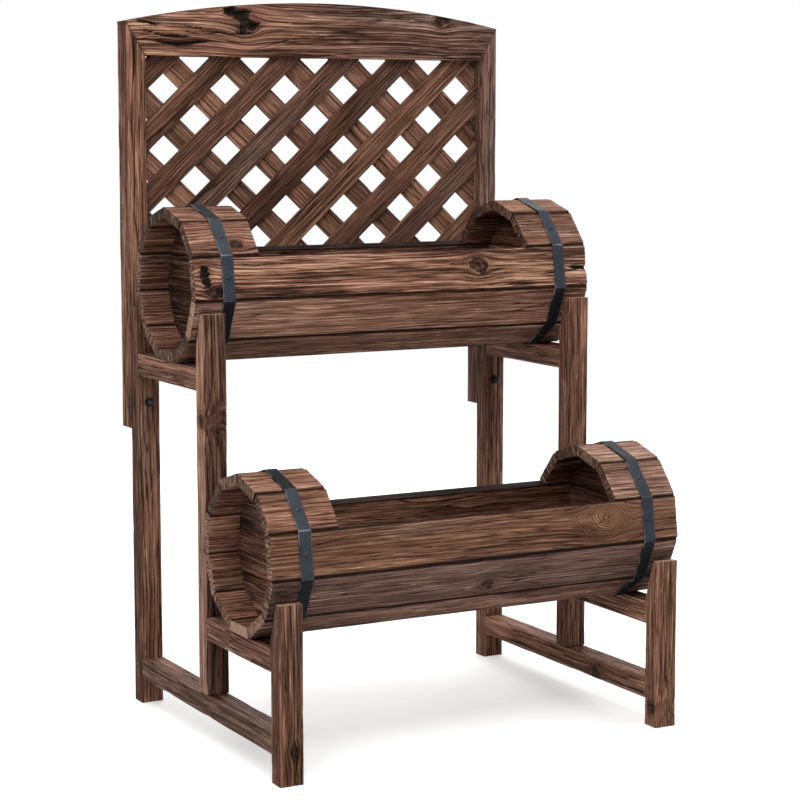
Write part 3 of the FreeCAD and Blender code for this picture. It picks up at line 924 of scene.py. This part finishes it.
tones = {
    "lower_barrel_front_stave": Tone(0.02, 0.4, -0.25, drift=0.03),
    "lower_barrel_front_under_stave": Tone(-0.07, -0.8, -0.25),
    # Painted shade inside the lower barrel's open end
    "lower_barrel_bottom_stave": Tone(-0.1),
    "lower_barrel_front_bottom_stave": Tone(-0.04, -0.3),
    "lower_barrel_left_front_top_staves": Tone(0.06, 0, -0.1),
    "lower_barrel_right_front_top_staves": Tone(0.09, -0.5),
    # Painted shade inside the lower barrel's left end; the drift paints light on the head's front part
    "lower_barrel_left_head": Tone(-0.06, 0, 0.1, drift=-0.11),
    "lower_barrel_back_under_stave": Tone(-0.05),
    "upper_barrel_front_stave": Tone(0.05, 0, 0.45),
    "upper_barrel_front_under_stave": Tone(0.21, -0.1, -0.15),
    "upper_barrel_bottom_stave": Tone(-0.06),
    "upper_barrel_left_front_top_staves": Tone(-0.02),
    "upper_barrel_right_front_top_staves": Tone(-0.02, 0, -0.2),
    # Painted shade inside the upper barrel's left end, on the head and the back staves; the head's drift
    # paints light on its front part
    "upper_barrel_left_head": Tone(-0.18, drift=-0.06),
    "upper_barrel_back_stave": Tone(-0.08),
    "upper_barrel_left_back_top_staves": Tone(-0.08),
    # The side_light of legs and stiles is painted light on their left faces
    "left_front_leg": Tone(-0.02, 0.1, -0.1, side_light=-0.05),
    "left_mid_leg": Tone(-0.21, -0.2, -0.2, drift=0.08, side_light=0.43),
    "left_back_leg": Tone(-0.05, 0, -0.1, side_light=-0.1),
    "left_bottom_rail": Tone(-0.05, -0.4),
    "right_front_leg": Tone(0.0, 0, -0.15, side_light=0.07),
    "trellis_left_stile": Tone(0.07, 0, 0.1, side_light=-0.12),
    "trellis_right_stile": Tone(0.02, -0.5, -0.15),
    "trellis_top_rail": Tone(-0.04, -0.2, 0.15, drift=-0.13),
}
short_tone = Tone(0.06)
end_shares = {
    "lower_barrel_bottom_stave": 1.05, "lower_barrel_front_bottom_stave": 0.6,
    "lower_barrel_back_bottom_stave": 0.3, "lower_barrel_back_under_stave": 0.65,
    "upper_barrel_front_bottom_stave": 0.1, "upper_barrel_bottom_stave": 0.35,
    "upper_barrel_back_bottom_stave": 0.3, "upper_barrel_front_under_stave": 0.85,
}
usual_end_share = 0.42
short_end_share = 0.15


# Materials

wood_colours = (
    (0.0, (0.0075, 0.0036, 0.0022)), (0.22, (0.029, 0.0125, 0.0075)), (0.42, (0.082, 0.0385, 0.025)),
    (0.62, (0.162, 0.086, 0.059)), (0.82, (0.305, 0.17, 0.118)), (1.0, (0.48, 0.315, 0.23)),
)
end_colours = (
    (0.0, (0.009, 0.0045, 0.003)), (0.35, (0.048, 0.0235, 0.0155)), (0.65, (0.145, 0.078, 0.052)),
    (1.0, (0.36, 0.215, 0.15)),
)
knot_colours = (
    (0.4, (0.006, 0.003, 0.002)), (0.5, (0.03, 0.0135, 0.0085)), (0.61, (0.085, 0.042, 0.028)),
    (0.74, (0.2, 0.112, 0.078)),
)
red_tint = (1.08, 0.93, 0.9, 1)
gold_tint = (1.03, 0.98, 0.8, 1)
knot_shade = (0.5, 0.4, 0.36, 1)
rim_colour = (0.0075, 0.0038, 0.0026, 1)
crack_colour = (0.0055, 0.0034, 0.0026, 1)
# The straps' colour painted lit and painted in shade, by facet, and the colour of rubbed edges and of the
# painted highlights along the bends
lit_steel_colours = ((0.3, (0.026, 0.031, 0.039)), (0.6, (0.04, 0.047, 0.059)), (0.85, (0.07, 0.08, 0.096)))
shaded_steel_colours = ((0.3, (0.002, 0.0019, 0.0021)), (0.85, (0.006, 0.0058, 0.0066)))
rub_and_highlight_colour = (0.2, 0.2, 0.205, 1)
beech_colours = ((0.3, (0.3, 0.19, 0.11)), (0.7, (0.52, 0.37, 0.23)))
fixing_colours = ((0.35, (0.012, 0.013, 0.015)), (0.75, (0.05, 0.052, 0.056)))
zinc_colours = ((0.35, (0.3, 0.3, 0.29)), (0.75, (0.55, 0.55, 0.53)))
floor_colour = (0.8, 0.8, 0.8, 1)
white = (1, 1, 1, 1)
wood_lightness = {"frame_wood": 0, "barrel_wood": 0, "head_wood": -0.03, "trellis_wood": 0,
                  "lattice_wood": 0.03}
wood_bump_depth = 0.0015
steel_bump_depth = 0.0008
fixing_bump_depth = 0.0004


class Graph:
    """The nodes of a new material or world, which are added one by one."""

    def __init__(self, name, kind="materials"):
        self.owner = getattr(bpy.data, kind).new(name)
        self.owner.use_nodes = True
        self.tree = self.owner.node_tree
        self.tree.nodes.clear()

    def add(self, kind, inputs=None, **settings):
        """The outputs of a new node with some settings, and with values or links for its inputs."""
        node = self.tree.nodes.new(f"ShaderNode{kind}")
        for key, value in settings.items():
            setattr(node, key, value)
        for key, value in (inputs or {}).items():
            if isinstance(value, bpy.types.NodeSocket):
                self.tree.links.new(value, node.inputs[key])
            else:
                node.inputs[key].default_value = value
        return node.outputs

    def attribute(self, name, output="Fac"):
        return self.add("Attribute", attribute_name=name)[output]

    def parts(self, name):
        """The three numbers of a vector attribute."""
        return self.add("SeparateXYZ", {0: self.attribute(name, "Vector")})

    def place(self):
        return self.add("TexCoord")["Object"]

    def math(self, operation, *values, clamp=False):
        return self.add("Math", dict(enumerate(values)), operation=operation, use_clamp=clamp)[0]

    def times(self, first, second):
        return self.math("MULTIPLY", first, second)

    def rest(self, value):
        """What a value leaves of 1."""
        return self.math("SUBTRACT", 1.0, value)

    def sum(self, *terms, clamp=False):
        """Adds up pairs of (value, weight)."""
        total = 0.0
        for value, weight in terms:
            total = self.math("MULTIPLY_ADD", value, weight, total)
        return self.math("ADD", total, 0.0, clamp=True) if clamp else total

    def step(self, value, low, high):
        """0 at low and 1 at high, with a soft step between."""
        return self.add("MapRange", {"Value": value, "From Min": low, "From Max": high},
                        interpolation_type="SMOOTHSTEP")["Result"]

    def band(self, value, low, full, falling, high):
        """0 at low, 1 from full to falling, and 0 again at high."""
        return self.times(self.step(value, low, full), self.rest(self.step(value, falling, high)))

    def line(self, value, middle, width):
        """1 where a value has its middle, and 0 a width away from there."""
        return self.rest(self.step(self.math("ABSOLUTE", self.math("SUBTRACT", value, middle)), 0.0, width))

    def noise(self, vector, scales, detail=2.0, roughness=0.5, distortion=0.0):
        """Noise from 0 to 1 with scales in cycles to the metre."""
        scaled = self.add("VectorMath", {0: vector, 1: scales}, operation="MULTIPLY")[0]
        return self.add("TexNoise", {"Vector": scaled, "Scale": 1.0, "Detail": detail,
                                     "Roughness": roughness, "Distortion": distortion})["Fac"]

    def mix(self, factor, first, second, blend="MIX"):
        inputs = {"Factor": factor, 6: first, 7: second}
        return self.add("Mix", inputs, data_type="RGBA", blend_type=blend)[2]

    def ramp(self, value, stops):
        """A colour ramp through (place, colour) stops."""
        colours = self.add("ValToRGB", {"Fac": value})[0]
        elements = colours.node.color_ramp.elements
        while len(elements) < len(stops):
            elements.new(0.5)
        for element, (place, colour) in zip(elements, stops):
            element.position = place
            element.color = (*colour, 1)
        return colours

    def bump(self, height, strength, depth):
        return self.add("Bump", {"Height": height, "Strength": strength, "Distance": depth})[0]

    def finish(self, surface, output="OutputMaterial"):
        self.add(output, {"Surface": surface})
        return self.owner

    def principled(self, **inputs):
        """The finished material with a principled surface."""
        inputs = {label.replace("_", " "): value for label, value in inputs.items()}
        return self.finish(self.add("BsdfPrincipled", inputs)[0])


def wood_material(name, lightness):
    """Charred and brushed softwood: dark furrows, paler ridges, black knots and cracks, worn edges, and
    painted shade in the grooves between staves.
    """
    g = Graph(name)
    grain = g.attribute("grain", "Vector")
    ring = g.attribute("ring")
    groove = g.attribute("groove")
    tone, worn, swirl, knot, crack = (g.parts(label) for label in ("tone", "worn", "swirl", "knot", "crack"))

    def wood_noise(along, across, *settings):
        """Noise with its scales along and across the grain."""
        return g.noise(grain, (along, across, across), *settings)

    fine = wood_noise(20, 500, 3, 0.65)
    fibre = wood_noise(6, 320, 3, 0.65, 0.4)
    streak = wood_noise(2.6, 120, 3, 0.55, 0.3)
    blotch = wood_noise(3.5, 17, 3, 0.55)

    frayed = g.sum((ring, 1.0), (fibre, 0.9), (streak, 0.5))
    late = g.band(g.math("FRACT", frayed), 0.68, 0.93, 0.96, 1.0)
    ring_number = g.math("ADD", g.math("FLOOR", frayed), g.times(worn[2], 97.0))
    ring_chance = g.add("TexWhiteNoise", {"W": ring_number}, noise_dimensions="1D")["Value"]
    late = g.times(late, g.sum((ring_chance, 0.8), (1.0, 0.25)))
    turned = g.band(g.math("FRACT", g.sum((swirl[0], 1.0), (fibre, 0.3))), 0.45, 0.75, 0.8, 1.0)
    turned = g.times(turned, g.step(wood_noise(26, 60), 0.22, 0.58))
    turned_here = g.times(turned, swirl[1])
    late = g.sum((g.times(late, g.rest(swirl[1])), 1.0), (turned_here, 0.75))

    hair = g.line(wood_noise(2.8, 230), 0.5, 0.03)
    gash = g.line(wood_noise(6, 190), 0.5, 0.022)
    gash = g.times(gash, g.step(wood_noise(9, 50), 0.48, 0.6))
    splinter = g.line(wood_noise(8, 270), 0.5, 0.03)
    splinter = g.times(splinter, g.step(wood_noise(11, 60), 0.5, 0.6))

    figure = g.sum((streak, 2.2), (wood_noise(6, 42, 3, 0.6), 3.8), (1.0, -3.0))
    figure = g.times(figure, g.math("MAXIMUM", tone[2], 0.0))
    detail = g.sum((fibre, 0.72), (fine, 1.18), (streak, 0.5), (blotch, 0.75), (late, -0.50), (hair, -0.28),
                   (gash, -0.50), (splinter, 0.34), (ring_chance, 0.13), (1.0, -1.54))
    detail = g.times(detail, g.sum((g.math("MINIMUM", tone[2], 0.0), 0.7), (tone[2], 0.3),
                                   (swirl[1], -0.35), (1.0, 1.0)))
    value = g.sum((detail, 1.0), (figure, 1.0), (tone[0], 1.0), (turned_here, -0.24), (swirl[1], 0.06),
                  (1.0, lightness + 0.52))
    edge_light = g.times(g.times(worn[0], g.rest(groove)), g.step(fibre, 0.42, 0.62))
    # The groove paints shade at the bottom of the grooves between staves.
    colour = g.ramp(g.sum((value, 1.0), (edge_light, 0.18), (groove, -0.62)), wood_colours)

    tint = g.sum((wood_noise(2.2, 48), 2.4), (g.math("MAXIMUM", tone[1], 0.0), 0.7), (1.0, -0.9),
                 clamp=True)
    colour = g.mix(tint, g.mix(1.0, colour, red_tint, "MULTIPLY"), g.mix(1.0, colour, gold_tint, "MULTIPLY"))
    greyed = g.add("HueSaturation", {"Color": colour, "Saturation": 0.72, "Value": 0.94})[0]
    grey_share = g.sum((g.step(wood_noise(3.0, 26), 0.52, 0.72), 0.5),
                       (g.math("MINIMUM", tone[1], 0.0), -0.9), clamp=True)
    colour = g.mix(grey_share, colour, greyed)

    # The stave ends are painted darker beside the grooves too, as painted shade.
    end_value = g.sum((late, -0.5), (g.noise(grain, (60, 430, 70), 3, 0.6), 2.8), (fine, 0.9), (blotch, 0.8),
                      (worn[2], 0.8), (tone[0], 0.5), (g.step(groove, 0.5, 1.0), -0.7), (1.0, -1.95))
    colour = g.mix(worn[1], colour, g.ramp(end_value, end_colours))

    out = g.math("SQRT", g.math("ADD", g.times(knot[0], knot[0]), g.times(knot[1], knot[1])))
    places = {0: g.attribute("worn", "Vector"), 1: (0.0, 0.0, 40.0), 2: g.attribute("knot", "Vector")}
    around = g.add("VectorMath", places, operation="MULTIPLY_ADD")[0]
    out = g.sum((out, 1.0), (g.noise(around, (0.7, 0.6, 1.0)), 1.7),
                (g.noise(around, (2.1, 1.7, 1.0), 3, 0.6), 1.0), (1.0, -1.35))
    near = g.step(knot[2], 0.05, 0.4)
    core = g.times(g.rest(g.step(out, 0.78, 1.0)), near)
    halo = g.times(g.rest(g.step(out, 0.8, 2.6)), near)
    rim = g.times(g.line(out, 0.95, 0.28), near)
    chunk = g.noise(around, (1.5, 1.3, 1.0), 4, 0.65, 0.6)
    colour = g.mix(g.times(halo, 0.7), colour, g.mix(1.0, colour, knot_shade, "MULTIPLY"))
    colour = g.mix(core, colour, g.ramp(chunk, knot_colours))
    colour = g.mix(g.times(rim, 0.75), colour, rim_colour)

    wobble = g.times(g.math("SUBTRACT", wood_noise(150, 260, 3, 0.6), 0.5), 2.4)
    away = g.math("ABSOLUTE", g.math("ADD", crack[0], wobble))
    split = g.rest(g.step(g.math("SUBTRACT", away, crack[1]), -0.25, 0.15))
    split = g.times(split, g.step(crack[1], 0.02, 0.12))
    pit = g.step(crack[2], 0.4, 2.6)
    colour = g.mix(g.math("MAXIMUM", split, g.times(pit, 0.9)), colour, crack_colour)

    brushed = g.sum((fibre, 1.3), (fine, 0.7), (streak, 0.7), (hair, -0.35), (gash, -0.9), (splinter, 0.35))
    height = g.sum((g.times(brushed, g.rest(g.times(worn[1], 0.75))), 1.0), (late, -0.7), (split, -1.6),
                   (rim, -0.5), (g.times(chunk, core), 2.4))
    return g.principled(Base_Color=colour, Roughness=g.sum((fibre, 0.3), (1.0, 0.52)),
                        Normal=g.bump(height, 0.9, wood_bump_depth), Specular_IOR_Level=0.1)


def steel_material(name):
    """Blackened steel with a satin skin, faint hammer marks and brighter worn side edges; painted light and
    shade on its facets and a painted highlight along the bends.
    """
    g = Graph(name)
    place = g.place()
    wear = g.parts("wear")
    cloud = g.noise(place, (38, 38, 38), 4, 0.6)
    fine = g.noise(place, (420, 420, 420), 3, 0.6)
    value = g.sum((cloud, 0.6), (fine, 0.25), (g.noise(place, (900, 160, 160)), 0.2))
    # The second number of wear mixes the facets' painted shade with their painted light.
    colour = g.mix(wear[1], g.ramp(value, shaded_steel_colours), g.ramp(value, lit_steel_colours))
    worn_patch = g.step(g.sum((cloud, 1.0), (fine, 0.4)), 0.62, 0.85)
    # A painted highlight along the bends of the lit facets, broken up by noise; the side edges are rubbed
    # lighter, as wear.
    bend = g.times(g.step(wear[2], 0.45, 1.0), g.times(wear[1], g.step(cloud, 0.38, 0.6)))
    rub_and_highlight = g.math("MAXIMUM", g.times(g.step(wear[0], 0.9, 1.0), worn_patch), bend)
    return g.principled(Base_Color=g.mix(rub_and_highlight, colour, rub_and_highlight_colour),
                        Roughness=g.sum((cloud, 0.2), (fine, 0.1), (1.0, 0.36)),
                        Normal=g.bump(g.sum((cloud, 1.0), (fine, 0.3)), 0.35, steel_bump_depth),
                        Specular_IOR_Level=0.07)


def fixing_material(name, colours, roughness):
    """Plated or blackened fixings with fine wear."""
    g = Graph(name)
    place = g.place()
    cloud = g.noise(place, (160, 160, 160), 4, 0.6)
    skin = g.sum((cloud, 0.7), (g.noise(place, (1300, 1300, 1300), 2, 0.6), 0.3))
    return g.principled(Base_Color=g.ramp(skin, colours), Metallic=0.85,
                        Roughness=g.sum((cloud, 0.3), (1.0, roughness)),
                        Normal=g.bump(skin, 0.3, fixing_bump_depth))


def dowel_material(name):
    """Plain turned beech, which shows only where a joint is open."""
    g = Graph(name)
    value = g.noise(g.place(), (240, 240, 240), 3, 0.6)
    return g.principled(Base_Color=g.ramp(value, beech_colours), Roughness=0.7)


def dress_cad_node(node, material):
    """Gives a CAD node that keeps its mesh a material in every slot."""
    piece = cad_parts[node]
    if not piece.data.materials:
        piece.data.materials.append(material)
    for slot in piece.material_slots:
        slot.material = material


# Floor, light and camera

floor_radius = 6.0
floor_white_from = 1.2
floor_white_at = 4.0
floor_glow = 0.34
studio_light = 0.5
camera_place = Vector((-1.4370, -2.6642, 0.8281))
camera_yaw = math.radians(28.534)
camera_pitch = math.radians(6.677)
camera_lens = 98.784
camera_sensor = 36
camera_shift_up = -0.03
camera_reach = 50

# Each lamp's name, place, target, width, height and power
lamps = (
    ("key", (-1.6, -2.2, 3.0), (0, 0, 0.45), 2.4, 1.8, 95),
    ("top", (0.3, -0.3, 3.2), (0, 0, 0.5), 2.4, 2.4, 60),
    ("back_fill", (1.4, 2.8, 1.8), (0, 0, 0.45), 2.4, 1.8, 60),
)


def build_floor():
    """A pale floor that takes the object's shadow and runs out into the white backdrop."""
    bpy.ops.mesh.primitive_circle_add(vertices=96, radius=floor_radius, fill_type="NGON")
    floor = bpy.context.object
    floor.name = "floor"
    g = Graph("pale_floor")
    diffuse = g.add("BsdfDiffuse", {"Color": floor_colour})[0]
    seen = g.add("LightPath")["Is Camera Ray"]
    lift = g.add("Emission", {"Color": white, "Strength": g.times(seen, floor_glow)})[0]
    lifted = g.add("AddShader", {0: diffuse, 1: lift})[0]
    plain = g.add("Emission", {"Color": white, "Strength": 1.0})[0]
    distance = g.add("VectorMath", {0: g.place()}, operation="LENGTH")["Value"]
    far = g.times(g.step(distance, floor_white_from, floor_white_at), seen)
    floor.data.materials.append(g.finish(g.add("MixShader", {0: far, 1: lifted, 2: plain})[0]))


def build_world():
    """Even studio light, and white wherever the camera or a reflection looks past the object."""
    g = Graph("studio", "worlds")
    path = g.add("LightPath")
    seen = g.math("MAXIMUM", path["Is Camera Ray"], path["Is Glossy Ray"])
    seen = g.math("MAXIMUM", seen, path["Is Transmission Ray"])
    strength = g.add("MapRange", {"Value": seen, "To Min": studio_light, "To Max": 1.0})["Result"]
    background = g.add("Background", {"Color": white, "Strength": strength})[0]
    bpy.context.scene.world = g.finish(background, "OutputWorld")


def build_lamps():
    """Large soft area lights, each aimed at a point."""
    for name, place, target, width, height, power in lamps:
        lamp = bpy.data.lights.new(name, "AREA")
        lamp.shape = "RECTANGLE"
        lamp.size = width
        lamp.size_y = height
        lamp.energy = power
        light = bpy.data.objects.new(name, lamp)
        light.location = place
        light.rotation_euler = (Vector(target) - Vector(place)).to_track_quat("-Z", "Y").to_euler()
        bpy.context.scene.collection.objects.link(light)


def build_camera():
    """The photograph's viewpoint."""
    data = bpy.data.cameras.new("photo_camera")
    data.sensor_width = camera_sensor
    data.sensor_fit = "HORIZONTAL"
    data.lens = camera_lens
    data.shift_y = camera_shift_up
    data.clip_end = camera_reach
    camera = bpy.data.objects.new("photo_camera", data)
    camera.location = camera_place
    camera.rotation_euler = (math.pi / 2 - camera_pitch, 0, -camera_yaw)
    bpy.context.scene.collection.objects.link(camera)
    bpy.context.scene.camera = camera


materials = {slot: wood_material(f"charred_{slot}", lightness) for slot, lightness in wood_lightness.items()}
materials["band_steel"] = steel_material("blackened_steel")
materials["black_fixings"] = fixing_material("black_fixings", fixing_colours, 0.22)
zinc = fixing_material("zinc_screws", zinc_colours, 0.28)
beech = dowel_material("beech_dowels")

dress_side_frames()
dress_barrel("lower_barrel", seed=200)
dress_barrel("upper_barrel", seed=300)
dress_trellis()
for barrel in ("lower_barrel", "upper_barrel"):
    for end_name in ("left", "right"):
        strap(f"{barrel}_{end_name}_band", barrel_axis(barrel))
    dress_nails(barrel)
    dress_cad_node(f"{barrel}_rail_screws", zinc)
for node_name in ("trellis_bolts", "trellis_washers", "trellis_cap_nuts"):
    dress_cad_node(node_name, materials["black_fixings"])
for node_name in ("left_frame_dowels", "right_frame_dowels", "trellis_dowels"):
    dress_cad_node(node_name, beech)

build_floor()
build_world()
build_lamps()
build_camera()
bpy.context.scene.view_settings.view_transform = "Standard"
